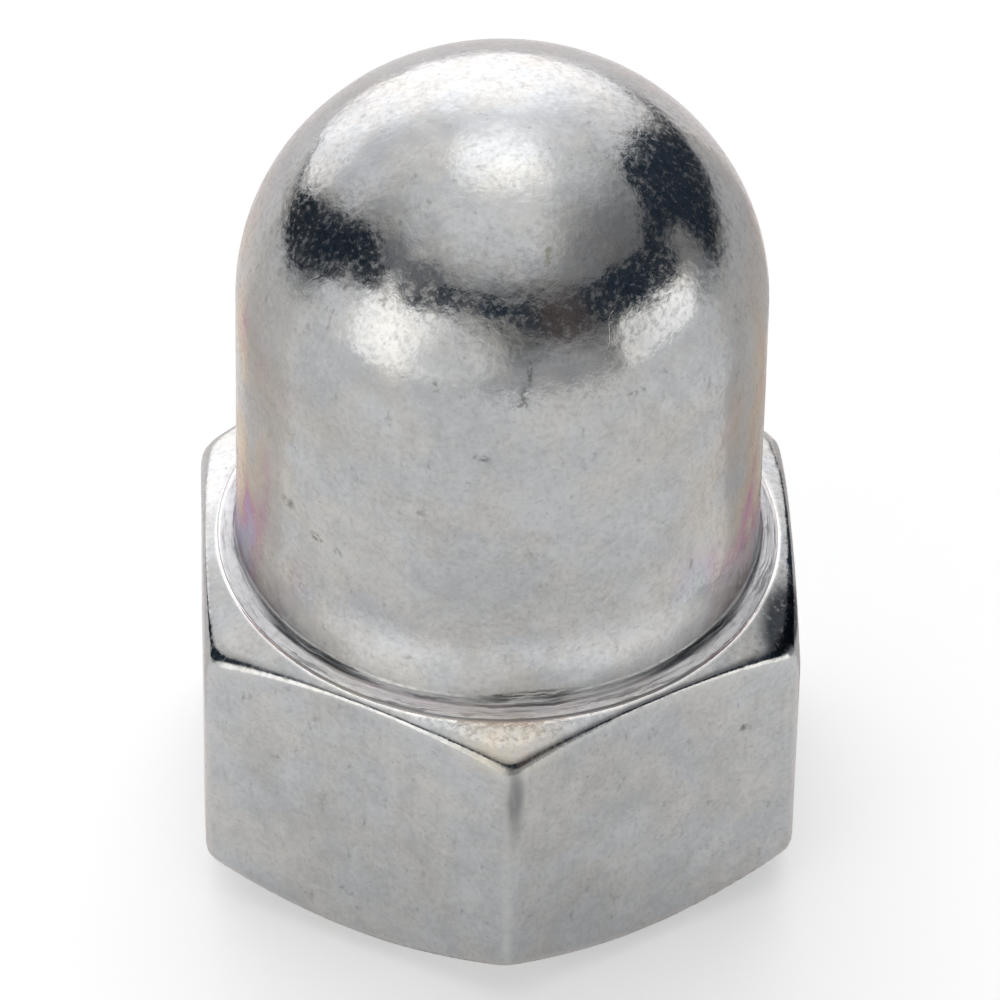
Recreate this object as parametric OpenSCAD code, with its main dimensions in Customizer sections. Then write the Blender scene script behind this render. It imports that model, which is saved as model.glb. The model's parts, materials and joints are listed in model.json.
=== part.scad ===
// Domed cap nut, high form: a hexagon with a round cap over a blind threaded hole.
// Millimetres, +Z up. The flat bearing face stands on Z = 0 and is centred on the Z axis.

/* [Hexagon] */

// Width across the flats
across_flats = 13; // [11.5:0.1:16]

// Height of the hexagon, from the bearing face to the rim around the cap
hex_height = 7.4; // [6:0.1:9]

// Radius on the six upright edges
edge_radius = 0.5; // [0.2:0.05:0.9]

/* [Chamfers] */

// Slope of the upper chamfer, from level, in degrees
upper_chamfer_angle = 22; // [15:1:32]

// Slope of the lower chamfer, from level, in degrees
lower_chamfer_angle = 31; // [15:1:38]

// Distance from a flat in to the edge of the round bearing face
bearing_inset = 0.8; // [0.3:0.05:1.2]

/* [Cap] */

// Diameter of the cap's straight wall
cap_diameter = 11.5; // [9.5:0.1:11.7]

// Height of the whole nut
total_height = 19.2; // [16:0.1:24]

// Height of the domed end, from the straight wall to the crown
dome_rise = 5.35; // [4:0.05:5.6]

// Radius in the corner where the cap rises from the hexagon
foot_radius = 0.2; // [0.1:0.05:0.55]

// Level land between that radius and the upper chamfer
rim_land = 0.35; // [0.02:0.01:0.5]

/* [Threaded hole] */

// Nominal diameter of the screw
screw_diameter = 8; // [6:1:8]

// Pitch of the screw's thread
screw_pitch = 1.25; // [0.75:0.25:1.5]

// Solid metal between the end of the hole and the crown
crown_wall = 3.2; // [2:0.1:5]

// Full angle of the drilled end of the hole, in degrees
drill_point_angle = 118; // [90:1:140]

// How much wider than the screw the countersunk mouth is, across the diameter
mouth_clearance = 0.6; // [0.2:0.1:1]

// Full angle of the countersunk mouth, in degrees
mouth_angle = 120; // [90:5:120]

/* [Hidden] */

// One body, turned and forged from one piece of steel

// Height of a standard sixty-degree thread for each millimetre of pitch, on the diameter
thread_depth_per_pitch = 1.0825;

// A tool runs past the faces it cuts by this much
overrun = 1;

// The upright edges' radius reaches past the flats by this much, so that it cuts them cleanly
edge_overlap = 0.002;

flat_radius = across_flats / 2;
edge_centre = (flat_radius - edge_radius) / cos(30);
corner_radius = edge_centre + edge_radius;
half_flat = edge_centre / 2;
outer_radius = corner_radius + overrun;

cap_radius = cap_diameter / 2;
rim_radius = cap_radius + foot_radius + rim_land;
bearing_radius = flat_radius - bearing_inset;
upper_chamfer_drop = (outer_radius - rim_radius) * tan(upper_chamfer_angle);
lower_chamfer_rise = (outer_radius - bearing_radius) * tan(lower_chamfer_angle);

// The dome is a shoulder arc and a crown arc with one tangent where they meet.
// Their two centres and that meeting point lie on a line that rises 4 for every 3 across.
meeting_across = 0.6;
meeting_up = 0.8;
dome_base = total_height - dome_rise;
dome_flattening = cap_radius - dome_rise;
centre_distance = dome_flattening / (meeting_across + meeting_up - 1);
shoulder_radius = cap_radius - meeting_across * centre_distance;
crown_radius = dome_rise + meeting_up * centre_distance;
shoulder_centre = cap_radius - shoulder_radius;
crown_centre = total_height - crown_radius;
meeting_radius = shoulder_centre + shoulder_radius * meeting_across;
meeting_height = dome_base + shoulder_radius * meeting_up;

// The cap is rooted inside the hexagon, halfway up, clear of the lower chamfer
cap_root = hex_height / 2;

hole_radius = (screw_diameter - thread_depth_per_pitch * screw_pitch) / 2;
mouth_radius = (screw_diameter + mouth_clearance) / 2;
mouth_depth = (mouth_radius - hole_radius) / tan(mouth_angle / 2);
drill_point_height = hole_radius / tan(drill_point_angle / 2);
hole_depth = total_height - crown_wall - drill_point_height;

color_zinc = [0.74, 0.75, 0.75];

// Hexagon in plan with a radius on each corner; a corner points along -Y
module hexagon_plan() {
    intersection() {
        rotate([0, 0, 30])
            circle(r = flat_radius / cos(30), $fn = 6);
        union() {
            for (turn = [0 : 60 : 120])
                rotate([0, 0, turn])
                    square([across_flats + overrun, 2 * half_flat], center = true);
            for (turn = [30 : 60 : 330])
                rotate([0, 0, turn])
                    translate([edge_centre, 0])
                        circle(r = edge_radius + edge_overlap, $fn = 48);
        }
    }
}

// Half section of the hexagon's envelope: bearing face, both chamfers and the rim
module envelope_section() {
    polygon([
        [0, 0],
        [bearing_radius, 0],
        [outer_radius, lower_chamfer_rise],
        [outer_radius, hex_height - upper_chamfer_drop],
        [rim_radius, hex_height],
        [0, hex_height]
    ]);
}

// Half section of the cap: straight wall, shoulder arc and crown arc, one above the other
module cap_section() {
    translate([0, cap_root])
        square([cap_radius, dome_base - cap_root]);
    intersection() {
        translate([shoulder_centre, dome_base])
            circle(r = shoulder_radius, $fn = 180);
        translate([0, dome_base])
            square([cap_radius, meeting_height - dome_base]);
    }
    intersection() {
        translate([0, crown_centre])
            circle(r = crown_radius, $fn = 180);
        translate([0, meeting_height])
            square([meeting_radius + overrun, total_height + overrun - meeting_height]);
    }
}

// Half section of the hollow radius where the cap rises from the rim
module foot_section() {
    difference() {
        translate([cap_radius, hex_height])
            square(foot_radius);
        translate([cap_radius + foot_radius, hex_height + foot_radius])
            circle(r = foot_radius, $fn = 96);
    }
}

// Half section of the hole: countersunk mouth, tapping wall and drilled end
module hole_section() {
    polygon([
        [0, -overrun],
        [mouth_radius + overrun * tan(mouth_angle / 2), -overrun],
        [hole_radius, mouth_depth],
        [hole_radius, hole_depth],
        [0, hole_depth + drill_point_height]
    ]);
}

module cap_nut() {
    color(color_zinc)
        difference() {
            intersection() {
                linear_extrude(height = total_height + overrun)
                    hexagon_plan();
                rotate_extrude($fn = 180) {
                    envelope_section();
                    cap_section();
                    foot_section();
                }
            }
            rotate_extrude($fn = 120)
                hole_section();
        }
}

cap_nut();
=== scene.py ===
# %% [markdown]
# # A zinc-plated cap nut
# A cap nut closes the end of a screw: a hexagon for the spanner, and a domed cap over
# the thread. The real one is a single piece of steel, forged, turned, tapped and then
# plated, so it is one mesh here too.

import json
import math

import bmesh
import bpy
from mathutils import Matrix, Vector, noise


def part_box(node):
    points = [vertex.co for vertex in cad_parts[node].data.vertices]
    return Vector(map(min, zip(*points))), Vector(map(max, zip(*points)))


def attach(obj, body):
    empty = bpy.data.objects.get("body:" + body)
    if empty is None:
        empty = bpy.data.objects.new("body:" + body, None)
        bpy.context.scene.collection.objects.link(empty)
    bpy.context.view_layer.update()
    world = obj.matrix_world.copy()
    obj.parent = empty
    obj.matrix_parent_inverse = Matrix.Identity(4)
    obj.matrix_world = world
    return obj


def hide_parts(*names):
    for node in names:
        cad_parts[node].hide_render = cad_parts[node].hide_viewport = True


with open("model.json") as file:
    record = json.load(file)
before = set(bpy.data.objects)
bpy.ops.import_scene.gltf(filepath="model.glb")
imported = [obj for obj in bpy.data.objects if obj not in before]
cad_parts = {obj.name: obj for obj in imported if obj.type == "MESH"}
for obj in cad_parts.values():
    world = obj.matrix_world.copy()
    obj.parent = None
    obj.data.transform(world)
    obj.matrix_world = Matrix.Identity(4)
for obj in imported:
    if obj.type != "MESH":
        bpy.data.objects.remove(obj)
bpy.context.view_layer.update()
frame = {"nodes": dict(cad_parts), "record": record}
MM = 0.001
TURN = 2 * math.pi
print("frame holds", sorted(frame["nodes"]))

# %% [markdown]
# The sizes that the nut shares with its CAD solid are measured on that solid, so the
# two can't drift apart: its box gives the hexagon and the height, its corners give the
# cap, the foot and the seat, and the record gives the screw hole.

# %% Measure the CAD solid
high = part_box("cap_nut")[1]
half_flats = high.x / MM
corner_radius = high.y / MM
total_height = high.z / MM
cad_corners = [v.co / MM for v in frame["nodes"]["cap_nut"].data.vertices]
cap_radius = max(v.xy.length for v in cad_corners if v.z > 0.6 * total_height)
on_hexagon = [v for v in cad_corners if v.xy.length > 0.95 * half_flats]
hex_height = max(v.z for v in on_hexagon)
seat = [v.xy.length for v in cad_corners if v.z < 0.001]
bearing_radius = max(seat)
mouth_radius = min(seat)
screw_hole = next(m for m in frame["record"]["mounts"] if m["name"] == "screw_hole")
hole_radius = screw_hole["dims"]["r_mm"]
print(f"flats {2 * half_flats:.2f}, corners {2 * corner_radius:.2f}, height {total_height:.2f}")
print(f"cap radius {cap_radius:.3f}, hexagon height {hex_height:.3f}, hole radius {hole_radius:.3f}")
print(f"seat from radius {mouth_radius:.3f} to {bearing_radius:.3f}")

# %% [markdown]
# The rest of the section is a turner's drawing. The dome is two arcs that meet where
# their common radius slopes 3 across to 4 up. At its foot a small hollow radius opens
# into a band that the tool left rough, a narrow land round it has been rubbed bright and
# is made lighter still as a painted highlight, and shallow cones take the hexagon's
# corners off above and below. This nut's rim isn't quite true: towards its front corner
# it lies a little lower and a little further out.

# %% Sizes of the turned section, in millimetres
dome_base = 13.85
crevice_height = 7.47
crevice_radius = 0.16
band_end = 6.14
band_height = 7.385
land_start = 6.17
land_end = 6.21
rim_drop = 0.20
rim_offset = 0.07
rim_round = 0.16
upper_slope = math.radians(22)
lower_slope = math.radians(31)
blank_radius = 9.6
mouth_slope = math.radians(60)
pitch = 1.25
thread_depth = 0.5413 * pitch
thread_top = 12.6
drill_end = 14.0
drill_slope = math.radians(31)

meeting_across = 0.6
meeting_up = 0.8
dome_rise = total_height - dome_base
flatness = (cap_radius - dome_rise) / (meeting_across + meeting_up - 1)
shoulder_radius = cap_radius - meeting_across * flatness
crown_radius = dome_rise + meeting_up * flatness
meeting_angle = math.atan2(meeting_up, meeting_across)
print(f"dome arcs {shoulder_radius:.2f} and {crown_radius:.2f}")

# %% [markdown]
# An outline is a short list of points in the half plane X, Z. Arcs are worked out, and
# `stretch` puts extra points on straight lines where the hexagon will cut them.

# %% Helpers that draw an outline
def arc(centre, radius, start, end, steps):
    angles = [start + (end - start) * i / steps for i in range(steps + 1)]
    return [(centre[0] + radius * math.cos(a), centre[1] + radius * math.sin(a)) for a in angles]


def stretch(start, end, steps):
    shares = [i / steps for i in range(steps + 1)]
    return [(start[0] + (end[0] - start[0]) * t, start[1] + (end[1] - start[1]) * t) for t in shares]


def chain(*parts):
    points = []
    for part in parts:
        points += [p for p in part if not points or math.dist(p, points[-1]) > 1e-4]
    return points


corner_test = arc((0, 0), 1, 0, math.pi / 2, 2)
print("a quarter circle in two steps:", [(round(x, 3), round(z, 3)) for x, z in corner_test])


# %% An outline as an object: a row of points with edges, which a tree can read
def outline_object(name, points):
    mesh = bpy.data.meshes.new(name)
    corners = [(x * MM, 0, z * MM) for x, z in points]
    mesh.from_pydata(corners, [(i, i + 1) for i in range(len(points) - 1)], [])
    outline = bpy.data.objects.new(name, mesh)
    bpy.context.collection.objects.link(outline)
    return outline


print("outlines are drawn in millimetres and stored in metres")

# %% The outside, from the top of the dome round to the mouth of the hole
crown_centre = (0, total_height - crown_radius)
shoulder_centre = (cap_radius - shoulder_radius, dome_base)
foot_centre = (cap_radius + crevice_radius, crevice_height + crevice_radius)
rim_centre = (land_end, hex_height - rim_round)
cone_start = (
    rim_centre[0] + rim_round * math.sin(upper_slope),
    rim_centre[1] + rim_round * math.cos(upper_slope),
)
cone_drop = (blank_radius - cone_start[0]) * math.tan(upper_slope)
shoulder_point = (blank_radius, cone_start[1] - cone_drop)
heel_point = (blank_radius, (blank_radius - bearing_radius) * math.tan(lower_slope))
thread_start = (mouth_radius - hole_radius - thread_depth - 0.01) / math.tan(mouth_slope)
thread_mouth = (mouth_radius - thread_start * math.tan(mouth_slope), thread_start)
outside = chain(
    arc(crown_centre, crown_radius, math.pi / 2, meeting_angle, 22),
    arc(shoulder_centre, shoulder_radius, meeting_angle, 0, 20),
    stretch((cap_radius, dome_base), (cap_radius, foot_centre[1]), 14),
    arc(foot_centre, crevice_radius, math.pi, 1.5 * math.pi, 6),
    stretch((foot_centre[0], crevice_height), (band_end, band_height), 6),
    stretch((band_end, band_height), (land_start, hex_height), 2),
    stretch((land_start, hex_height), (land_end, hex_height), 2),
    arc(rim_centre, rim_round, math.pi / 2, math.pi / 2 - upper_slope, 4),
    stretch(cone_start, shoulder_point, 56),
    stretch(shoulder_point, heel_point, 12),
    stretch(heel_point, (bearing_radius, 0), 36),
    stretch((bearing_radius, 0), (mouth_radius, 0), 3),
    stretch((mouth_radius, 0), thread_mouth, 2),
)
drill_top = drill_end + hole_radius * math.tan(drill_slope)
drilled_end = chain(
    stretch((hole_radius, thread_top), (hole_radius, drill_end), 3),
    stretch((hole_radius, drill_end), (0, drill_top), 4),
)
print(len(outside), "points outside,", len(drilled_end), "at the end of the hole")

# %% [markdown]
# ## The shape as a rule
# A lathe gives a round blank and a die gives it six flats. The same two steps make a
# good Geometry Nodes tree: sweep the outline round the axis on a grid, then pull every
# point that lies outside the hexagon back to it. A smooth minimum in place of a plain
# one leaves the edges softly rounded, as forging and tumbling leave them, and the metal
# fills a die least at its upper corners, so the rounding grows towards them. The pull runs
# along rays from a ring inside the body, so that it is even on both sides of an edge,
# and the rim's lean is given to the outline before the pull, so the edges follow it.
# Columns are bunched towards the six corners, where the shape turns fastest. How round
# the surface is at each point is stored with it, for the finish to use as wear.

# %% Small helpers for node trees
def add(tree, kind, **settings):
    node = tree.nodes.new(kind)
    for name, value in settings.items():
        setattr(node, name, value)
    return node


def feed(tree, socket, value):
    if isinstance(value, bpy.types.NodeSocket):
        tree.links.new(value, socket)
    else:
        socket.default_value = value


def calc(tree, operation, *values, clamp=False):
    node = add(tree, "ShaderNodeMath", operation=operation, use_clamp=clamp)
    for socket, value in zip(node.inputs, values):
        feed(tree, socket, value)
    return node.outputs[0]


def new_rule(name, numbers):
    tree = bpy.data.node_groups.new(name, "GeometryNodeTree")
    tree.interface.new_socket("Outline", in_out="INPUT", socket_type="NodeSocketGeometry")
    for label, kind in numbers.items():
        tree.interface.new_socket(label, in_out="INPUT", socket_type=kind)
    tree.interface.new_socket("Finish", in_out="INPUT", socket_type="NodeSocketMaterial")
    tree.interface.new_socket("Surface", in_out="OUTPUT", socket_type="NodeSocketGeometry")
    return tree, add(tree, "NodeGroupInput").outputs


LENGTH = "NodeSocketFloat"
COUNT = "NodeSocketInt"
print("a tree's inputs are", LENGTH, "or", COUNT)


# %% Sweeping an outline: a grid whose rows are the outline's points
def sweep_grid(tree, outline, columns_in_all):
    size = add(tree, "GeometryNodeAttributeDomainSize")
    feed(tree, size.inputs[0], outline)
    points = size.outputs["Point Count"]
    grid = add(tree, "GeometryNodeMeshGrid")
    feed(tree, grid.inputs["Size X"], 1.0)
    feed(tree, grid.inputs["Size Y"], 1.0)
    feed(tree, grid.inputs["Vertices X"], points)
    feed(tree, grid.inputs["Vertices Y"], calc(tree, "ADD", columns_in_all, 1))
    place = add(tree, "ShaderNodeSeparateXYZ")
    feed(tree, place.inputs[0], add(tree, "GeometryNodeInputPosition").outputs[0])
    along = calc(tree, "ADD", place.outputs[0], 0.5)
    row = calc(tree, "ROUND", calc(tree, "MULTIPLY", along, calc(tree, "SUBTRACT", points, 1)))
    sample = add(tree, "GeometryNodeSampleIndex", data_type="FLOAT_VECTOR", clamp=True)
    feed(tree, sample.inputs["Geometry"], outline)
    feed(tree, sample.inputs["Value"], add(tree, "GeometryNodeInputPosition").outputs[0])
    feed(tree, sample.inputs["Index"], row)
    drawn = add(tree, "ShaderNodeSeparateXYZ")
    feed(tree, drawn.inputs[0], sample.outputs[0])
    around = calc(tree, "ADD", place.outputs[1], 0.5)
    return grid.outputs["Mesh"], drawn.outputs[0], drawn.outputs[2], around


print("a sweep has one row for each of the outline's", len(outside), "points")


# %% Angles bunched at the corners, and a value stored with each point
def bunched_angle(tree, turns_made, bunching):
    angle = calc(tree, "MULTIPLY", turns_made, TURN)
    wave = calc(tree, "SINE", calc(tree, "MULTIPLY", angle, 6))
    return calc(tree, "ADD", angle, calc(tree, "MULTIPLY", wave, calc(tree, "DIVIDE", bunching, 6)))


def store(tree, mesh, name, value):
    node = add(tree, "GeometryNodeStoreNamedAttribute", data_type="FLOAT", domain="POINT")
    feed(tree, node.inputs["Geometry"], mesh)
    feed(tree, node.inputs["Name"], name)
    feed(tree, node.inputs["Value"], value)
    return node.outputs[0]


print("six corners, so the bunching repeats every", 360 // 6, "degrees")


# %% The end of a tree: place the points, close the seam and give the finish
merge_distance = 0.0008 * MM


def put_and_close(tree, mesh, radius, angle, height, finish):
    place = add(tree, "ShaderNodeCombineXYZ")
    feed(tree, place.inputs[0], calc(tree, "MULTIPLY", radius, calc(tree, "COSINE", angle)))
    feed(tree, place.inputs[1], calc(tree, "MULTIPLY", radius, calc(tree, "SINE", angle)))
    feed(tree, place.inputs[2], height)
    moved = add(tree, "GeometryNodeSetPosition")
    feed(tree, moved.inputs["Geometry"], mesh)
    feed(tree, moved.inputs["Position"], place.outputs[0])
    merged = add(tree, "GeometryNodeMergeByDistance")
    feed(tree, merged.inputs["Geometry"], moved.outputs[0])
    feed(tree, merged.inputs["Distance"], merge_distance)
    real = add(tree, "GeometryNodeRealizeInstances")
    feed(tree, real.inputs[0], merged.outputs[0])
    painted = add(tree, "GeometryNodeSetMaterial")
    feed(tree, painted.inputs["Geometry"], real.outputs[0])
    feed(tree, painted.inputs["Material"], finish)
    out = add(tree, "NodeGroupOutput")
    feed(tree, out.inputs[0], painted.outputs[0])


print(f"points closer than {merge_distance / MM} mm are merged")

# %% The tree for the body: sweep, then cut to a hexagon
body_rule, given = new_rule(
    "turned_and_cut_to_hexagon",
    {
        "Columns": COUNT,
        "Bunching": LENGTH,
        "Half Across Flats": LENGTH,
        "Corner Softness": LENGTH,
        "Edge Softness": LENGTH,
        "Edge Softness At Corners": LENGTH,
        "Heel Softness": LENGTH,
        "Cap Radius": LENGTH,
        "Foot Height": LENGTH,
        "Rim Drop": LENGTH,
        "Rim Offset": LENGTH,
        "Pivot Radius": LENGTH,
        "Pivot Height": LENGTH,
    },
)
t = body_rule
surface, drawn_radius, drawn_height, around = sweep_grid(t, given["Outline"], given["Columns"])
angle = bunched_angle(t, around, given["Bunching"])
sixth = TURN / 6
nearest_flat = calc(t, "MULTIPLY", calc(t, "ROUND", calc(t, "DIVIDE", angle, sixth)), sixth)
off_flat = calc(t, "ABSOLUTE", calc(t, "SUBTRACT", angle, nearest_flat))
flat_here = calc(t, "DIVIDE", given["Half Across Flats"], calc(t, "COSINE", off_flat))
next_off = calc(t, "SUBTRACT", sixth, off_flat)
flat_next = calc(t, "DIVIDE", given["Half Across Flats"], calc(t, "COSINE", next_off))
hexagon = calc(t, "SMOOTH_MIN", flat_here, flat_next, given["Corner Softness"])
is_upper = calc(t, "GREATER_THAN", drawn_height, given["Pivot Height"])
print(body_rule.name, "takes", len(given) - 1, "inputs")

# %% The rim leans towards the front corner, and the pull runs from the pivot ring
rim_ramp = 2.5 * MM
wall_ramp = 1.5 * MM
fillet_ramp = 0.2 * MM
risen = calc(t, "SUBTRACT", drawn_height, given["Pivot Height"])
past_foot = calc(t, "SUBTRACT", drawn_height, given["Foot Height"])
from_below = calc(t, "DIVIDE", risen, rim_ramp, clamp=True)
from_above = calc(t, "SUBTRACT", 1, calc(t, "DIVIDE", past_foot, wall_ramp, clamp=True))
to_front = calc(t, "MULTIPLY_ADD", calc(t, "SINE", angle), -0.5, 0.5)
sinking = calc(t, "MULTIPLY", calc(t, "POWER", to_front, 2), given["Rim Drop"])
sunk_by = calc(t, "MULTIPLY", calc(t, "MULTIPLY", from_below, from_above), sinking)
past_cap = calc(t, "SUBTRACT", drawn_radius, given["Cap Radius"])
past_fillet = calc(t, "SUBTRACT", past_cap, fillet_ramp / 2)
on_rim = calc(t, "DIVIDE", past_fillet, fillet_ramp, clamp=True)
on_rim = calc(t, "MULTIPLY", on_rim, from_below)
lean_by = calc(t, "MULTIPLY", calc(t, "MULTIPLY_ADD", to_front, 2, -1), given["Rim Offset"])
shifted = calc(t, "MULTIPLY_ADD", on_rim, lean_by, drawn_radius)
out_by = calc(t, "SUBTRACT", shifted, given["Pivot Radius"])
up_by = calc(t, "SUBTRACT", risen, sunk_by)
out_squared = calc(t, "MULTIPLY", out_by, out_by)
ray = calc(t, "SQRT", calc(t, "MULTIPLY_ADD", up_by, up_by, out_squared))
lean = calc(t, "MAXIMUM", calc(t, "DIVIDE", out_by, ray), 0.02)
to_hexagon = calc(t, "DIVIDE", calc(t, "SUBTRACT", hexagon, given["Pivot Radius"]), lean)
print(f"towards the front the rim sinks {rim_drop:.2f} mm and leans out {rim_offset:.2f} mm")

# %% Softer towards the corners, and how round each point is
cornerness = calc(t, "POWER", calc(t, "DIVIDE", off_flat, sixth / 2), 3)
extra = calc(t, "SUBTRACT", given["Edge Softness At Corners"], given["Edge Softness"])
upper_softness = calc(t, "MULTIPLY_ADD", cornerness, extra, given["Edge Softness"])
softness_gap = calc(t, "SUBTRACT", upper_softness, given["Heel Softness"])
softness = calc(t, "MULTIPLY_ADD", is_upper, softness_gap, given["Heel Softness"])
kept = calc(t, "DIVIDE", calc(t, "SMOOTH_MIN", ray, to_hexagon, softness), ray)
radius = calc(t, "MULTIPLY_ADD", out_by, kept, given["Pivot Radius"])
height = calc(t, "MULTIPLY_ADD", up_by, kept, given["Pivot Height"])


def roundness(first, second, softness):
    apart = calc(t, "ABSOLUTE", calc(t, "SUBTRACT", first, second))
    return calc(t, "SUBTRACT", 1, calc(t, "DIVIDE", apart, softness), clamp=True)


on_flats = calc(t, "GREATER_THAN", ray, to_hexagon)
upright = calc(t, "MULTIPLY", roundness(flat_here, flat_next, given["Corner Softness"]), on_flats)
edge = calc(t, "MAXIMUM", roundness(ray, to_hexagon, softness), upright)
surface = store(t, surface, "edge", edge)
put_and_close(t, surface, radius, angle, height, given["Finish"])
print(body_rule.name, "has", len(body_rule.nodes), "nodes")

# %% [markdown]
# ## The screw thread
# The hole is tapped M8: a 60 degree groove that climbs 1.25 mm a turn. Here the rows of
# the grid climb with the helix, so that the crest stays a clean line. Heights beyond
# the two ends are clamped to them, and merging the doubled points then leaves a plain
# ring at each end for the neighbours to meet. The countersunk mouth cuts the groove by
# a maximum of two radii, and a map range lets the groove run out at the top.

# %% The tree for the thread
thread_rule, given = new_rule(
    "tapped_thread",
    {
        "Columns": COUNT,
        "Bunching": LENGTH,
        "Turns": COUNT,
        "Pitch": LENGTH,
        "Hole Radius": LENGTH,
        "Start Height": LENGTH,
        "End Height": LENGTH,
        "Mouth Radius": LENGTH,
        "Mouth Slope": LENGTH,
    },
)
t = thread_rule
in_all = calc(t, "MULTIPLY", given["Columns"], given["Turns"])
surface, groove, rise, around = sweep_grid(t, given["Outline"], in_all)
turns_made = calc(t, "MULTIPLY", around, given["Turns"])
angle = bunched_angle(t, turns_made, given["Bunching"])
climb = calc(t, "MULTIPLY", calc(t, "SUBTRACT", calc(t, "DIVIDE", angle, TURN), 1), given["Pitch"])
free_height = calc(t, "ADD", calc(t, "ADD", given["Start Height"], rise), climb)
above_start = calc(t, "MAXIMUM", free_height, given["Start Height"])
height = calc(t, "MINIMUM", above_start, given["End Height"])
run_out = add(t, "ShaderNodeMapRange", interpolation_type="SMOOTHSTEP")
feed(t, run_out.inputs["Value"], height)
feed(t, run_out.inputs["From Min"], calc(t, "SUBTRACT", given["End Height"], given["Pitch"]))
feed(t, run_out.inputs["From Max"], given["End Height"])
feed(t, run_out.inputs["To Min"], 1.0)
feed(t, run_out.inputs["To Max"], 0.0)
tapped = calc(t, "ADD", given["Hole Radius"], calc(t, "MULTIPLY", groove, run_out.outputs[0]))
mouth = calc(t, "SUBTRACT", given["Mouth Radius"], calc(t, "MULTIPLY", height, given["Mouth Slope"]))
put_and_close(t, surface, calc(t, "MAXIMUM", tapped, mouth), angle, height, given["Finish"])
print(thread_rule.name, "has", len(thread_rule.nodes), "nodes")


# %% Run the trees and keep plain meshes
def grow(outline, rule, finish, **inputs):
    modifier = outline.modifiers.new(rule.name, "NODES")
    modifier.node_group = rule
    identifiers = {i.name: i.identifier for i in rule.interface.items_tree if i.item_type == "SOCKET"}
    for name, value in inputs.items():
        modifier[identifiers[name.replace("_", " ")]] = value
    modifier[identifiers["Finish"]] = finish
    graph = bpy.context.evaluated_depsgraph_get()
    graph.update()
    made = bpy.data.meshes.new_from_object(outline.evaluated_get(graph))
    outline.modifiers.remove(modifier)
    bpy.data.objects.remove(outline)
    print(f"{rule.name}: {len(made.vertices)} points, {len(made.polygons)} faces")
    return made


# %% Grow the outside and the drilled end
zinc = bpy.data.materials.new("zinc_plate_clear_passivated")
columns = 240
bunching = 0.6
hexagon_inputs = {
    "Columns": columns,
    "Bunching": bunching,
    "Half_Across_Flats": half_flats * MM,
    "Corner_Softness": 6 * (half_flats / math.cos(sixth / 2) - corner_radius) * MM,
    "Edge_Softness": 0.34 * MM,
    "Edge_Softness_At_Corners": 1.1 * MM,
    "Heel_Softness": 0.45 * MM,
    "Cap_Radius": cap_radius * MM,
    "Foot_Height": (crevice_height + crevice_radius) * MM,
    "Rim_Drop": rim_drop * MM,
    "Rim_Offset": rim_offset * MM,
    "Pivot_Radius": 4.4 * MM,
    "Pivot_Height": 3.7 * MM,
}
outside_mesh = grow(outline_object("outside_outline", outside), body_rule, zinc, **hexagon_inputs)
end_mesh = grow(outline_object("drilled_outline", drilled_end), body_rule, zinc, **hexagon_inputs)

# %% Grow the thread
groove_ends = [0, 0.125, 0.25, 0.354, 0.458, 0.5625, 0.625, 0.6875, 0.792, 0.896, 1]
groove_depths = [0, 0, 0, 1 / 3, 2 / 3, 1, 1, 1, 2 / 3, 1 / 3, 0]
groove_outline = [(d * thread_depth, e * pitch) for d, e in zip(groove_depths, groove_ends)]
thread_mesh = grow(
    outline_object("groove_outline", groove_outline),
    thread_rule,
    zinc,
    Columns=columns,
    Bunching=bunching,
    Turns=math.ceil((thread_top - thread_start) / pitch) + 1,
    Pitch=pitch * MM,
    Hole_Radius=hole_radius * MM,
    Start_Height=thread_start * MM,
    End_Height=thread_top * MM,
    Mouth_Radius=mouth_radius * MM,
    Mouth_Slope=math.tan(mouth_slope),
)

# %% [markdown]
# The three surfaces share their end rings point for point, so joining them and merging
# doubles closes the nut. Tumbling has left the surface a little uneven, which is what
# makes its reflections waver: each point that lies above the seat and further out than
# the thread moves in by about a hundredth of a millimetre.


# %% How far each point moves in
broad_depth = 0.012
close_depth = 0.004


def unevenness(place):
    p = place / MM
    broad = noise.noise(p * 0.45) * 0.5 + 0.5
    close = noise.noise(p * 1.7 + Vector((7, 3, 1))) * 0.5 + 0.5
    return (broad_depth * broad + close_depth * close) * MM


print(f"points move in by up to {broad_depth + close_depth:.3f} mm")

# %% Join the surfaces into one closed piece
seat_kept = 0.3
thread_kept = hole_radius * 1.3
nut = bmesh.new()
for mesh in (outside_mesh, thread_mesh, end_mesh):
    nut.from_mesh(mesh)
bmesh.ops.remove_doubles(nut, verts=nut.verts, dist=merge_distance)
bmesh.ops.recalc_face_normals(nut, faces=nut.faces)
nut.normal_update()
for v in nut.verts:
    if v.co.z > seat_kept * MM and v.co.xy.length > thread_kept * MM:
        v.co -= v.normal * unevenness(v.co)
open_edges = sum(not e.is_manifold for e in nut.edges)
print(f"open edges {open_edges}, volume {nut.calc_volume() / MM**3:.1f} mm3")
nut_mesh = bpy.data.meshes.new("nut_finished")
nut.to_mesh(nut_mesh)
nut.free()
nut_mesh.polygons.foreach_set("use_smooth", [True] * len(nut_mesh.polygons))
nut_mesh.set_sharp_from_angle(angle=math.radians(35))
nut_mesh.materials.clear()
nut_mesh.materials.append(zinc)
nut_piece = bpy.data.objects.new("nut_finished", nut_mesh)
bpy.context.collection.objects.link(nut_piece)
print(sum(len(p.vertices) - 2 for p in nut_mesh.polygons), "triangles")

# %% [markdown]
# ## The finish
# Bright zinc with a thin clear chromate film is a soft grey mirror, but never an even
# one. The plate is blotched at every scale, the blasted steel under it breaks each
# reflection into flecks, and handling adds smears, pits and hair scratches. Each of
# these is a pattern with its own real size, so Object coordinates are scaled to
# millimetres once, and every pattern reads them.

# %% Shader helpers
zinc.use_nodes = True
z = zinc.node_tree
shader = z.nodes["Principled BSDF"]


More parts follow.
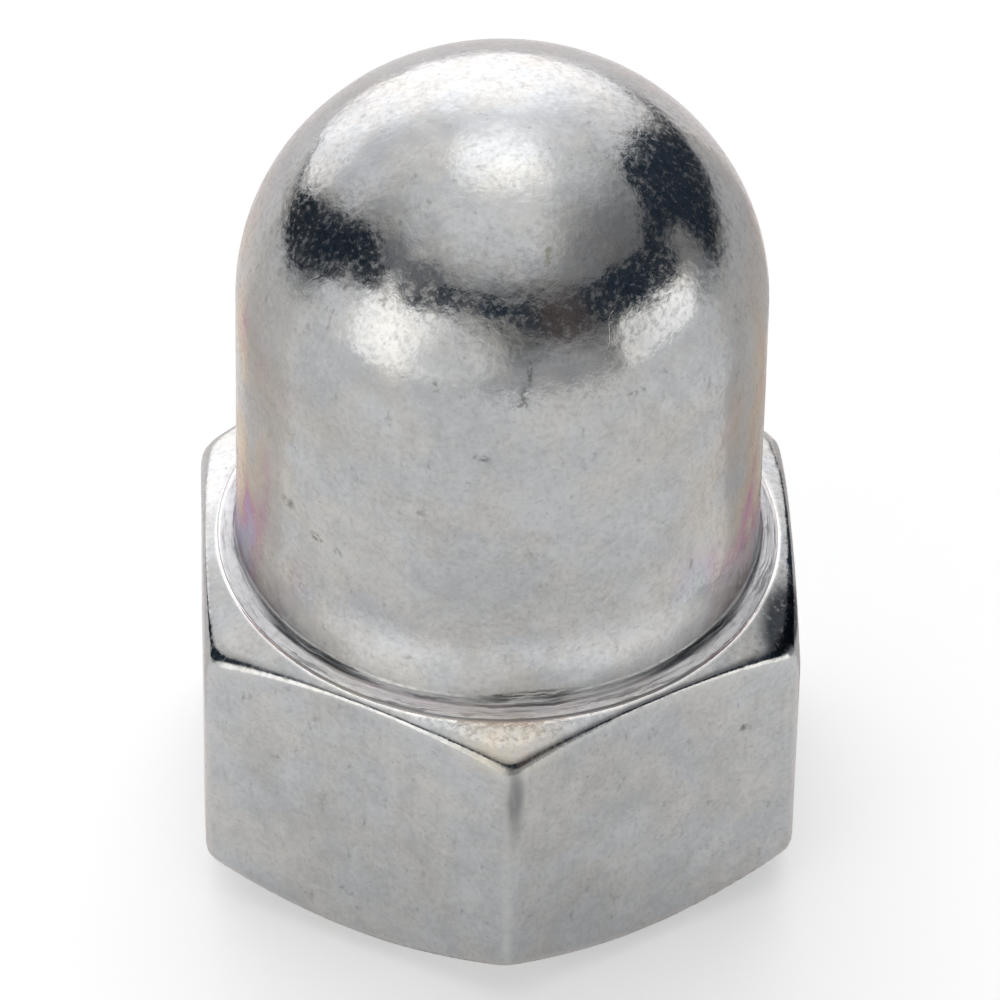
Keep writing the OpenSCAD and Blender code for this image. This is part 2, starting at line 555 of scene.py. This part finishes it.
def vector_calc(tree, operation, *values):
    node = add(tree, "ShaderNodeVectorMath", operation=operation)
    for socket, value in zip(node.inputs, values):
        feed(tree, socket, value)
    return node.outputs["Value" if operation in ("LENGTH", "DOT_PRODUCT") else "Vector"]


def scaled(tree, vector, factor):
    node = add(tree, "ShaderNodeVectorMath", operation="SCALE")
    feed(tree, node.inputs[0], vector)
    feed(tree, node.inputs["Scale"], factor)
    return node.outputs[0]


def grain(tree, vector, scale, detail=2.0, roughness=0.5):
    node = add(tree, "ShaderNodeTexNoise")
    feed(tree, node.inputs["Vector"], vector)
    feed(tree, node.inputs["Scale"], scale)
    feed(tree, node.inputs["Detail"], detail)
    feed(tree, node.inputs["Roughness"], roughness)
    return node.outputs[0]


print("patterns are noise, read at a place scaled or stretched to suit")


# %% Ranges, blends and products
def between(tree, value, from_low, from_high, to_low=0.0, to_high=1.0):
    node = add(tree, "ShaderNodeMapRange", interpolation_type="SMOOTHSTEP")
    feed(tree, node.inputs["Value"], value)
    feed(tree, node.inputs["From Min"], from_low)
    feed(tree, node.inputs["From Max"], from_high)
    feed(tree, node.inputs["To Min"], to_low)
    feed(tree, node.inputs["To Max"], to_high)
    return node.outputs[0]


def blend_colour(tree, share, first, second, mode="MIX"):
    node = add(tree, "ShaderNodeMix", data_type="RGBA", blend_type=mode)
    for socket, value in zip((node.inputs[0], node.inputs[6], node.inputs[7]), (share, first, second)):
        feed(tree, socket, value if isinstance(value, (float, bpy.types.NodeSocket)) else (*value, 1))
    return node.outputs[2]


def strip(tree, value, start, full, fading, end):
    """One from `full` to `fading`, nothing outside `start` and `end`, eased between."""
    rising = between(tree, value, start, full)
    return calc(tree, "MULTIPLY", rising, between(tree, value, fading, end, 1.0, 0.0))


def times(tree, *values):
    product = values[0]
    for value in values[1:]:
        product = calc(tree, "MULTIPLY", product, value)
    return product


print("a range is eased at both ends, so no pattern starts with a hard line")

# %% Where on the nut: millimetres, height and distance from the axis
where = scaled(z, add(z, "ShaderNodeTexCoord").outputs["Object"], 1 / MM)
split = add(z, "ShaderNodeSeparateXYZ")
feed(z, split.inputs[0], where)
across, deep, above_base = split.outputs
from_axis = vector_calc(z, "LENGTH", vector_calc(z, "MULTIPLY", where, (1, 1, 0)))
front_of_axis = calc(z, "DIVIDE", deep, from_axis)
print("patterns read the nut's own coordinates,", round(1 / MM), "to the metre")


# %% A mark: one at its centre, nothing beyond its soft edge
def mark(centre, size, soft=0.75):
    offset = vector_calc(z, "DIVIDE", vector_calc(z, "SUBTRACT", where, centre), size)
    return between(z, vector_calc(z, "LENGTH", offset), 1.0 - soft, 1.0 + soft * 0.4, 1.0, 0.0)


print("a mark is an oval with a centre, three half widths and a softness")

# %% Tone of the plate: blotches of three sizes, smears along the wall, dark specks
zinc_light = (0.552, 0.551, 0.556)
zinc_dull = (0.418, 0.419, 0.426)
zinc_dirty = (0.20, 0.20, 0.21)
fine_blotch = grain(z, where, 8.0, 3, 0.6)
middle_blotch = grain(z, where, 1.8, 4, 0.65)
broad_blotch = grain(z, where, 0.4, 3, 0.55)
blotches = calc(z, "MULTIPLY_ADD", fine_blotch, 0.3, calc(z, "MULTIPLY", middle_blotch, 0.35))
blotches = calc(z, "MULTIPLY_ADD", broad_blotch, 0.35, blotches)
tone = blend_colour(z, between(z, blotches, 0.35, 0.65), zinc_light, zinc_dull)
smear = grain(z, vector_calc(z, "MULTIPLY", where, (2.2, 2.2, 0.5)), 1.0, 3, 0.6)
tone = blend_colour(z, between(z, smear, 0.52, 0.75, 0.0, 0.35), tone, zinc_dull)
scuffs = grain(z, vector_calc(z, "MULTIPLY", where, (3.2, 3.2, 2.0)), 1.0, 4, 0.68)
tone = blend_colour(z, between(z, scuffs, 0.60, 0.74, 0.0, 0.5), tone, zinc_dirty)
speck = between(z, grain(z, where, 6.5, 2, 0.5), 0.68, 0.78, 0.0, 0.30)
tone = blend_colour(z, speck, tone, zinc_dirty)
print("the plate's tone runs from", zinc_dull, "to", zinc_light)

# %% [markdown]
# The chromate film tints the plate a little, warm here and cold there. At a glancing
# angle the same film turns orange, pink, violet and green, as oil does on water. The
# shader's specular tint colours a metal at just those angles, so the colours stay at
# the sides of the cap from wherever it is seen.

# %% Film colours
film_hue = grain(z, where, 0.7, 3, 0.55)
cold_film = (0.970, 0.992, 1.00)
warm_film = (1.01, 0.998, 0.955)
film = blend_colour(z, between(z, film_hue, 0.38, 0.62), cold_film, warm_film)
tone = blend_colour(z, 1.0, tone, film, "MULTIPLY")
rainbow = add(z, "ShaderNodeValToRGB")
rainbow_stops = [
    (0.30, (0.90, 0.86, 0.84)),
    (0.45, (0.96, 0.82, 0.68)),
    (0.56, (0.94, 0.74, 0.66)),
    (0.64, (0.92, 0.52, 0.64)),
    (0.72, (0.76, 0.62, 0.86)),
    (0.82, (0.72, 0.84, 0.82)),
]
for place, colour in rainbow_stops:
    stop = rainbow.color_ramp.elements.new(place)
    stop.color = (*colour, 1)
rainbow.color_ramp.elements.remove(rainbow.color_ramp.elements[0])
rainbow.color_ramp.elements.remove(rainbow.color_ramp.elements[-1])
film_depth = grain(z, vector_calc(z, "MULTIPLY", where, (0.9, 0.9, 0.45)), 1.0, 2, 0.5)
thicker_below = between(z, above_base, 8.0, 11.0, 0.14, -0.08)
feed(z, rainbow.inputs[0], calc(z, "ADD", film_depth, thicker_below))
on_cap = strip(z, above_base, 7.2, 7.6, 13.0, 17.5)
plain_film = (0.92, 0.87, 0.86)
glancing = blend_colour(z, on_cap, plain_film, rainbow.outputs[0])
feed(z, shader.inputs["Specular Tint"], glancing)
print(len(rainbow_stops), "film colours along the ramp")

# %% [markdown]
# The band at the foot of the cap keeps the lathe's rings, with polish and dirt pressed
# into the crevice, which is darkened further as painted shade, and the land round it has
# been rubbed bright and lightened as a painted highlight. Rings are noise that is read
# round a small circle and across many steps of radius and height, so it changes quickly
# outwards and slowly round the axis, and meets itself without a seam. The middle
# blotches bend the rings a little, since a worn tool never leaves a perfect circle.

# %% Lathe rings
heading = vector_calc(z, "DIVIDE", where, vector_calc(z, "MULTIPLY", (1, 1, 1), from_axis))
ring_place = add(z, "ShaderNodeCombineXYZ")
turned = add(z, "ShaderNodeSeparateXYZ")
feed(z, turned.inputs[0], heading)
feed(z, ring_place.inputs[0], calc(z, "MULTIPLY", turned.outputs[0], 4.0))
feed(z, ring_place.inputs[1], calc(z, "MULTIPLY", turned.outputs[1], 4.0))
outwards = calc(z, "MULTIPLY", calc(z, "SUBTRACT", from_axis, above_base), 10.0)
feed(z, ring_place.inputs[2], calc(z, "MULTIPLY_ADD", middle_blotch, 2.0, outwards))
rings = grain(z, ring_place.outputs[0], 1.0, 3, 0.6)
print("lathe rings between radius", round(cap_radius, 2), "and", band_end)

# %% [markdown]
# Five places at the foot are told apart by height and radius, measured from the leaning
# rim: the band, the crevice, the land, the lowest part of the wall, and the part of the
# crevice that is darkest, with dirt and painted shade. The wall's foot mirrors the band and
# the chamfer a second time, so its gloss is duller than the wall above it, and its tone is
# painted lighter as painted light, in place of the light those reflections lose.

# %% Where the band, the crevice, the land and the wall's foot are
to_front = calc(z, "MULTIPLY_ADD", front_of_axis, -0.5, 0.5)
above_rim = calc(z, "MULTIPLY_ADD", calc(z, "POWER", to_front, 2), rim_drop, above_base)
near_foot = strip(z, above_rim, 7.10, 7.22, crevice_height + 0.08, crevice_height + 0.18)
centred = calc(z, "MULTIPLY_ADD", front_of_axis, rim_offset, from_axis)
on_band = times(z, near_foot, strip(z, centred, 5.68, 5.74, band_end + 0.01, band_end + 0.05))
in_crevice = times(z, near_foot, strip(z, from_axis, 5.72, 5.77, 5.89, 5.97))
land_place = calc(z, "MULTIPLY_ADD", front_of_axis, 0.12, centred)
on_land = times(z, near_foot, strip(z, land_place, 6.08, 6.11, 6.17, 6.23))
above_foot = strip(z, above_rim, 7.50, 7.54, 8.3, 9.4)
above_foot = times(z, above_foot, between(z, from_axis, 5.8, 5.85, 1.0, 0.0))
# Painted shade with dirt in the crevice: darker at the sides and along the rings, lighter in front.
crevice_darkening = between(z, calc(z, "ABSOLUTE", across), 2.4, 3.8, 0.40, 0.95)
crevice_darkening = times(z, crevice_darkening, between(z, rings, 0.34, 0.56, 0.65, 1.0))
crevice_darkening = times(z, crevice_darkening, between(z, front_of_axis, -0.62, -0.38, 1.0, 0.15))
print("crevice at height", crevice_height, "and land from radius", land_start, "to", land_end)

# %% Tones of the foot, with painted light and shade
to_side = between(z, front_of_axis, -0.95, -0.45)
band_painted_front = (0.79, 0.79, 0.78)
band_painted_side = (0.56, 0.56, 0.57)
foot_painted_light_front = (1.52, 1.52, 1.51)
foot_painted_light_side = (1.20, 1.20, 1.20)
crevice_dirt_and_shade = (0.045, 0.05, 0.055)
land_rubbed_and_highlit = (0.84, 0.83, 0.81)
painted_dash_dark = (0.07, 0.07, 0.065)
# Painted light: the band's tone is lighter in front, where it mirrors the cap's wall, than at the
# sides.
band_painted_tone = blend_colour(z, to_side, band_painted_front, band_painted_side)
tone = blend_colour(z, on_band, tone, band_painted_tone)
# Painted light: the lowest part of the wall is painted lighter, more in front than at the sides.
foot_painted_light = blend_colour(z, to_side, foot_painted_light_front, foot_painted_light_side)
tone = blend_colour(z, above_foot, tone, blend_colour(z, 1.0, tone, foot_painted_light, "MULTIPLY"))
tone = blend_colour(z, times(z, on_band, between(z, rings, 0.50, 0.64, 0.0, 0.7)), tone, zinc_dirty)
tone = blend_colour(z, times(z, in_crevice, crevice_darkening), tone, crevice_dirt_and_shade)
# Painted highlight: the land is rubbed bright, and its colour is lightened further to stand for a
# highlight.
tone = blend_colour(z, times(z, on_land, 0.65), tone, land_rubbed_and_highlit)
# Painted reflection: short dark marks along the front of the foot stand for the crevice mirrored
# there.
painted_dashes = mark((0.5, -cap_radius, 7.40), (1.3, 0.4, 0.16), 0.5)
painted_dashes = times(z, painted_dashes, between(z, rings, 0.44, 0.54), 0.8)
tone = blend_colour(z, painted_dashes, tone, painted_dash_dark)
print("the band's tone runs from", band_painted_front, "in front to", band_painted_side, "at the sides")

# %% [markdown]
# Use has left its own marks. Edges are rubbed where the stored roundness is high. A grey
# streak down under the front corner is a painted dark reflection, a warm tint on the
# chamfer above it is partly a stain and partly the painted cream of a reflection, and a
# black patch on the chamfer by the right corner is a painted dark reflection. The small
# marks are a list of places and sizes in millimetres, broken up by the finest blotches so
# that none is a clean oval.

# %% Wear along the edges, a stain, and painted reflections
worn_edge = (0.60, 0.60, 0.585)
painted_streak_grey = (0.23, 0.23, 0.23)
stain_and_reflection_brown = (0.56, 0.51, 0.43)
painted_reflection_black = (0.06, 0.066, 0.075)
edge = add(z, "ShaderNodeAttribute", attribute_name="edge").outputs["Fac"]
rubbed = times(z, between(z, edge, 0.5, 1.0), between(z, middle_blotch, 0.38, 0.6, 0.1, 0.6))
tone = blend_colour(z, rubbed, tone, worn_edge)
# Painted dark reflection: a grey streak down under the front corner.
painted_streak = mark((0.12, -corner_radius, 5.9), (0.22, 0.5, 1.3), 0.75)
painted_streak = times(z, painted_streak, between(z, smear, 0.3, 0.6, 0.4, 0.9))
tone = blend_colour(z, painted_streak, tone, painted_streak_grey)
# A warm tint on the front chamfer: partly a stain, partly the painted cream of a reflection.
stain_and_reflection_tint = mark((0, -6.8, 7.0), (1.3, 1.0, 0.6), 0.8)
stain_and_reflection_tint = times(z, stain_and_reflection_tint, between(z, middle_blotch, 0.35, 0.6, 0.4, 0.9))
tone = blend_colour(z, stain_and_reflection_tint, tone, stain_and_reflection_brown)
# Painted dark reflection: a black patch on the chamfer by the right corner.
painted_dark_reflection = mark((6.42, -3.3, 7.15), (0.92, 1.65, 0.6), 0.35)
painted_dark_reflection = times(z, painted_dark_reflection, between(z, above_base, 6.76, 6.86))
painted_dark_reflection = times(z, painted_dark_reflection, between(z, fine_blotch, 0.30, 0.45, 0.7, 1.0))
tone = blend_colour(z, painted_dark_reflection, tone, painted_reflection_black)
print("edges rubbed, with a drip, a tea stain and grime")

# %% Pits and small marks
pit_dark = (0.14, 0.14, 0.13)
olive_green = (0.24, 0.23, 0.15)
pit_list = [
    ((-1.62, -5.21, 15.55), (0.10, 0.2, 0.12)),
    ((-0.61, -5.72, 13.99), (0.14, 0.2, 0.10)),
    ((-4.66, -3.36, 10.92), (0.20, 0.3, 0.14)),
    ((-4.08, -4.05, 10.51), (0.18, 0.3, 0.12)),
    ((-3.62, -4.47, 10.43), (0.12, 0.2, 0.12)),
    ((5.22, -4.49, 5.34), (0.12, 0.2, 0.12)),
    ((0.34, -5.31, 15.92), (0.07, 0.5, 0.34)),
    ((0.24, -5.45, 15.45), (0.13, 0.4, 0.30)),
    ((0.12, -5.52, 15.30), (0.26, 0.3, 0.12)),
    ((2.64, -4.93, 15.12), (0.26, 0.3, 0.06)),
]
pits = 0.0
for centre, size in pit_list:
    pits = calc(z, "MAXIMUM", pits, mark(centre, size))
pits = times(z, pits, between(z, fine_blotch, 0.36, 0.58))
tone = blend_colour(z, times(z, pits, 0.75), tone, pit_dark)
olive = mark((0.76, -3.76, 17.86), (0.10, 0.3, 0.30), 0.8)
olive = times(z, olive, between(z, fine_blotch, 0.35, 0.6, 0.2, 0.7))
tone = blend_colour(z, olive, tone, olive_green)
feed(z, shader.inputs["Base Color"], tone)
shader.inputs["Metallic"].default_value = 1.0
print(len(pit_list), "pits and one olive mark")

# %% Gloss: soft overall, matt in the band, brighter where it is rubbed
smoothest = 0.10
roughness_swing = 0.07
blasted_extra = 0.17
foot_extra = 0.24
rubbed_gain = -0.05
roughness_here = grain(z, where, 1.4, 2, 0.6)
gloss = between(z, roughness_here, 0.3, 0.7, smoothest, smoothest + roughness_swing)
gloss = calc(z, "ADD", gloss, between(z, fine_blotch, 0.44, 0.70, 0.0, blasted_extra))
gloss = calc(z, "MULTIPLY_ADD", calc(z, "MAXIMUM", on_band, above_foot), foot_extra, gloss)
gloss = calc(z, "MULTIPLY_ADD", calc(z, "MAXIMUM", rubbed, on_land), rubbed_gain, gloss)
feed(z, shader.inputs["Roughness"], gloss)
print("roughness from", smoothest, "up, and", foot_extra, "more on the band")

# %% [markdown]
# Relief is added up as a height in millimetres, and the bump node's distance is one
# millimetre, so each depth below is a real one: two hundredths for the broad swell, a
# little less for the lathe's rings, a few thousandths for the blasted grain, and less
# than one thousandth for a scratch.

# %% Relief
peel = grain(z, where, 4.5, 2, 0.6)
swell = grain(z, where, 1.3, 2, 0.5)
scratch_place = vector_calc(z, "MULTIPLY", where, (1.0, 1.0, 0.3))
off_line = calc(z, "ABSOLUTE", calc(z, "SUBTRACT", grain(z, scratch_place, 1.1, 1, 0.4), 0.5))
scratches = times(z, between(z, off_line, 0.0, 0.010, 1.0, 0.0), between(z, swell, 0.50, 0.56))
depths = (
    (peel, 0.0040),
    (fine_blotch, 0.0024),
    (swell, 0.020),
    (scratches, -0.0008),
    (times(z, rings, on_band), 0.015),
)
relief_height = 0.0
for pattern, depth in depths:
    relief_height = calc(z, "MULTIPLY_ADD", pattern, depth, relief_height)
relief = add(z, "ShaderNodeBump")
feed(z, relief.inputs["Strength"], 1.0)
feed(z, relief.inputs["Distance"], MM)
feed(z, relief.inputs["Height"], relief_height)
feed(z, shader.inputs["Normal"], relief.outputs[0])
print(zinc.name, "has", len(z.nodes), "nodes")

# %% [markdown]
# ## The studio
# A mirror shows its surroundings, so the studio is most of the picture: a pale table, a
# white wall behind, a soft grey diffuser overhead with one lamp in it, and two white
# cards in front. Dark cloth hangs between the cards and the diffuser, and it is what
# draws the dark arc on the dome. The lights are soft round patches in the world. To the
# camera itself the world is plain white, so that the table meets it without a line.

# %% The surroundings: soft patches of light in the world
world = bpy.data.worlds.new("studio")
bpy.context.scene.world = world
world.use_nodes = True
w = world.node_tree
background = w.nodes["Background"]
looking = vector_calc(w, "NORMALIZE", add(w, "ShaderNodeTexCoord").outputs["Generated"])


def toward(side, up):
    """Direction at `side` degrees from the camera's side of the nut, positive to the right."""
    a, e = math.radians(side), math.radians(up)
    return (math.sin(a) * math.cos(e), -math.cos(a) * math.cos(e), math.sin(e))


def patch(side, up, inner, outer):
    facing = vector_calc(w, "DOT_PRODUCT", looking, toward(side, up))
    return between(w, facing, math.cos(math.radians(outer)), math.cos(math.radians(inner)))


print("straight ahead of the camera's side lies", toward(0, 0))

# %% Each patch: side, height, full and fading radius in degrees, and colour
soft_patches = {
    "diffuser": (162, 85, 15, 56, (1.03, 1.03, 1.03)),
    "gap_right": (76, 35, 0, 44, (0.25, 0.25, 0.26)),
    "gap_left": (-78, 37, 0, 18, (0.24, 0.25, 0.27)),
    "card_left_end": (-74, 2, 12, 24, (0.98, 0.98, 0.98)),
    "card_left": (-46, 9, 20, 32, (1.55, 1.53, 1.49)),
    "card_left_core": (-52, 20, 0, 23, (1.85, 1.82, 1.77)),
    "gap_front_left": (-49, 41, 8, 13, (0.20, 0.21, 0.23)),
    "card_right": (69, 6, 15, 25, (1.28, 1.26, 1.23)),
    "card_right_core": (77, 9, 0, 20, (1.68, 1.65, 1.60)),
    "wall_far_left": (-145, 14, 8, 24, (1.50, 1.50, 1.52)),
    "wall_far_right": (156, 28, 6, 30, (1.08, 1.08, 1.10)),
    "wall_high": (-174, 48, 5, 30, (1.35, 1.35, 1.37)),
    "wall_left_high": (-143, 42, 6, 22, (1.12, 1.12, 1.14)),
    "wall_behind": (-176, 14, 0, 38, (2.10, 2.10, 2.12)),
    "lamp": (183, 71, 0, 21, (1.88, 1.88, 1.87)),
    "wall_left": (-124, 36, 0, 17, (0.94, 0.94, 0.96)),
    "gap_far_right": (125, 5, 18, 26, (0.21, 0.22, 0.24)),
    "front": (22, -5, 18, 31, (0.50, 0.51, 0.53)),
    "front_left": (-21, 14, 0, 27, (0.98, 0.97, 0.95)),
    "below": (0, -90, 60, 86, (0.85, 0.85, 0.85)),
}
print(len(soft_patches), "patches of light and shade")

# %% Lay the patches over one another on a grey ground
ground_in_front = (0.2, 0.2, 0.2)
ground_behind = (0.5, 0.5, 0.5)
white = (1.0, 1.0, 1.0)
from_behind = vector_calc(w, "DOT_PRODUCT", looking, (0, 1, 0))
light = blend_colour(w, between(w, from_behind, -1.0, 1.2), ground_in_front, ground_behind)
for side, up, inner, outer, colour in soft_patches.values():
    light = blend_colour(w, patch(side, up, inner, outer), light, colour)
seen_straight = add(w, "ShaderNodeLightPath").outputs["Is Camera Ray"]
feed(w, background.inputs["Color"], blend_colour(w, seen_straight, light, white))
background.inputs["Strength"].default_value = 1.0
print(world.name, "has", len(w.nodes), "nodes")


# %% Dark cloths, each hung between a lower and an upper edge
def edges_at(stops, side):
    for (a, low_a, high_a), (b, low_b, high_b) in zip(stops, stops[1:]):
        if a <= side <= b:
            share = (side - a) / (b - a)
            return low_a + (low_b - low_a) * share, high_a + (high_b - high_a) * share


def matt(name, colour):
    finish = bpy.data.materials.new(name)
    finish.use_nodes = True
    surface = finish.node_tree.nodes["Principled BSDF"]
    surface.inputs["Base Color"].default_value = (*colour, 1)
    surface.inputs["Roughness"].default_value = 1.0
    surface.inputs["Specular IOR Level"].default_value = 0.0
    return finish


def hang_cloth(name, colour, stops, distance=0.6, step=2):
    sides = range(stops[0][0], stops[-1][0] + 1, step)
    edges = [edges_at(stops, side) for side in sides]
    points = [Vector(toward(side, up)) * distance for side, pair in zip(sides, edges) for up in pair]
    faces = [(2 * i, 2 * i + 1, 2 * i + 3, 2 * i + 2) for i in range(len(edges) - 1)]
    mesh = bpy.data.meshes.new(name)
    mesh.from_pydata(points, [], faces)
    mesh.materials.append(matt(name, colour))
    hung = bpy.data.objects.new(name, mesh)
    bpy.context.collection.objects.link(hung)
    hung.visible_camera = False


print("a cloth is hung from a list of sides, each with a lower and an upper edge in degrees")

# %% Hang the cloths
black = (0.036, 0.056, 0.084)
umber = (0.150, 0.120, 0.120)
cloth_left = [
    *[(-150, 2.0, 3.2), (-132, 0.5, 5.5), (-120, 0, 20.5), (-110, 0, 31.5)],
    *[(-100, 8, 39), (-90, 15, 43), (-80, 24, 40), (-68, 31, 35)],
]
cloth_front = [
    *[(-56, 35, 37), (-46, 34, 40), (-34, 37, 44), (-20, 38, 46)],
    *[(-8, 36, 45), (0, 33, 44), (10, 28, 46), (18, 24, 46)],
]
cloth_umber = [(18, 23, 46), (30, 21, 41), (38, 23, 40)]
cloth_right = [
    *[(38, 28, 42), (50, 21, 39), (70, 20, 39), (80, 17.5, 36)],
    *[(90, 14, 39), (94, 26, 40), (100, 28, 41), (106, 22, 42)],
]
cloth_side = [
    *[(106, 0, 41), (114, 0, 42), (120, 0, 45), (126, 1, 42), (132, 2, 38)],
    *[(140, 2, 28), (148, 2, 10), (158, 3, 5.5), (172, 3, 4)],
]
hang_cloth("cloth_left", black, cloth_left)
hang_cloth("cloth_front", black, cloth_front)
hang_cloth("cloth_umber", umber, cloth_umber)
hang_cloth("cloth_right", black, cloth_right)
hang_cloth("cloth_side", black, cloth_side)
print("cloths from", cloth_left[0][0], "to", cloth_side[-1][0], "degrees round the nut")

# %% [markdown]
# The table is white paper. It glows a little to the camera and in reflections, which
# makes it white without more light on the nut, and the nut's shadow still shows. From
# below it is clear, and under the nut it has a hole as wide as the seat, so that the
# underside and the thread can be looked at too.

# %% The table
table_reach = 3.0
camera_glow = 0.37
mirror_glow = 0.27
ring_steps = 72
hole_ring = [(bearing_radius * MM * 0.99, i * TURN / ring_steps) for i in range(ring_steps)]
far_ring = [(table_reach, i * TURN / ring_steps) for i in range(ring_steps)]
table_points = [(r * math.cos(a), r * math.sin(a), 0) for r, a in hole_ring + far_ring]
table_faces = []
for i in range(ring_steps):
    after = (i + 1) % ring_steps
    table_faces.append((i, ring_steps + i, ring_steps + after, after))
table_mesh = bpy.data.meshes.new("table_top")
table_mesh.from_pydata(table_points, [], table_faces)
table_top = bpy.data.objects.new("table_top", table_mesh)
bpy.context.collection.objects.link(table_top)
paper = matt("white_paper", (0.82, 0.82, 0.82))
p = paper.node_tree
paper_surface = p.nodes["Principled BSDF"]
path = add(p, "ShaderNodeLightPath").outputs
mirrored = calc(p, "MAXIMUM", path["Is Glossy Ray"], path["Is Transmission Ray"])
glow = calc(p, "MULTIPLY", path["Is Camera Ray"], camera_glow)
glow = calc(p, "MULTIPLY_ADD", mirrored, mirror_glow, glow)
paper_surface.inputs["Emission Color"].default_value = (1, 1, 1, 1)
feed(p, paper_surface.inputs["Emission Strength"], glow)
clear = add(p, "ShaderNodeBsdfTransparent")
either = add(p, "ShaderNodeMixShader")
feed(p, either.inputs[0], add(p, "ShaderNodeNewGeometry").outputs["Backfacing"])
feed(p, either.inputs[1], paper_surface.outputs[0])
feed(p, either.inputs[2], clear.outputs[0])
feed(p, p.nodes["Material Output"].inputs["Surface"], either.outputs[0])
table_mesh.materials.append(paper)
print("table with a hole of radius", round(hole_ring[0][0] / MM, 2))

# %% [markdown]
# The sides of the hexagon and the wall of the cap mirror the table near the nut. Two
# sheets of grey card lie there. Only reflections see them, so they darken those sides
# a little and leave the table white, and that is what gives a round bar its shape.

# %% Grey cards on the table, each a sector of a ring
card_inner = 0.0086
card_outer = 1.0
card_lift = 0.0004


def lay_card(name, grey, start, end, steps=12):
    sides = [start + (end - start) * i / steps for i in range(steps + 1)]
    points = []
    for side in sides:
        points += [Vector(toward(side, 0)) * r for r in (card_inner, card_outer)]
    faces = [(2 * i, 2 * i + 1, 2 * i + 3, 2 * i + 2) for i in range(steps)]
    mesh = bpy.data.meshes.new(name)
    mesh.from_pydata(points, [], faces)
    mesh.materials.append(matt(name, (grey, grey, grey)))
    card = bpy.data.objects.new(name, mesh)
    bpy.context.collection.objects.link(card)
    card.location.z = card_lift
    card.visible_camera = False
    card.visible_diffuse = False
    card.visible_shadow = False


lay_card("grey_card_right", 0.80, 97, 148)
lay_card("grey_card_left", 0.95, -130, -95)
print("two grey cards from", card_inner / MM, "mm outwards")

# %% [markdown]
# ## The camera
# A long lens, well back and 40 degrees up, looking at the corner that faces it.

# %% Set the camera
view_up = math.radians(39.77)
view_side = math.radians(-2.92)
view_roll = math.radians(1.16)
lens_length = 311.1
camera_distance = 189.4 * MM
aim = Vector((0.04, 0, 0.4227 * total_height)) * MM
level_back = Vector((math.sin(view_side), -math.cos(view_side), 0))
back = level_back * math.cos(view_up) + Vector((0, 0, math.sin(view_up)))
lens = bpy.data.cameras.new("camera")
lens.lens = lens_length
lens.sensor_width = 36
lens.clip_start = 0.01
lens.clip_end = 10
camera = bpy.data.objects.new("camera", lens)
bpy.context.collection.objects.link(camera)
camera.location = aim + back * camera_distance
roll = Matrix.Rotation(view_roll, 4, "Z")
camera.rotation_euler = ((-back).to_track_quat("-Z", "Y").to_matrix().to_4x4() @ roll).to_euler()
bpy.context.scene.camera = camera
bpy.context.scene.view_settings.view_transform = "Standard"
print(f"camera {camera_distance / MM:.0f} mm away with a {lens_length} mm lens")

# %% Hand the piece to the frame and finish
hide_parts("cap_nut")
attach(nut_piece, "root")
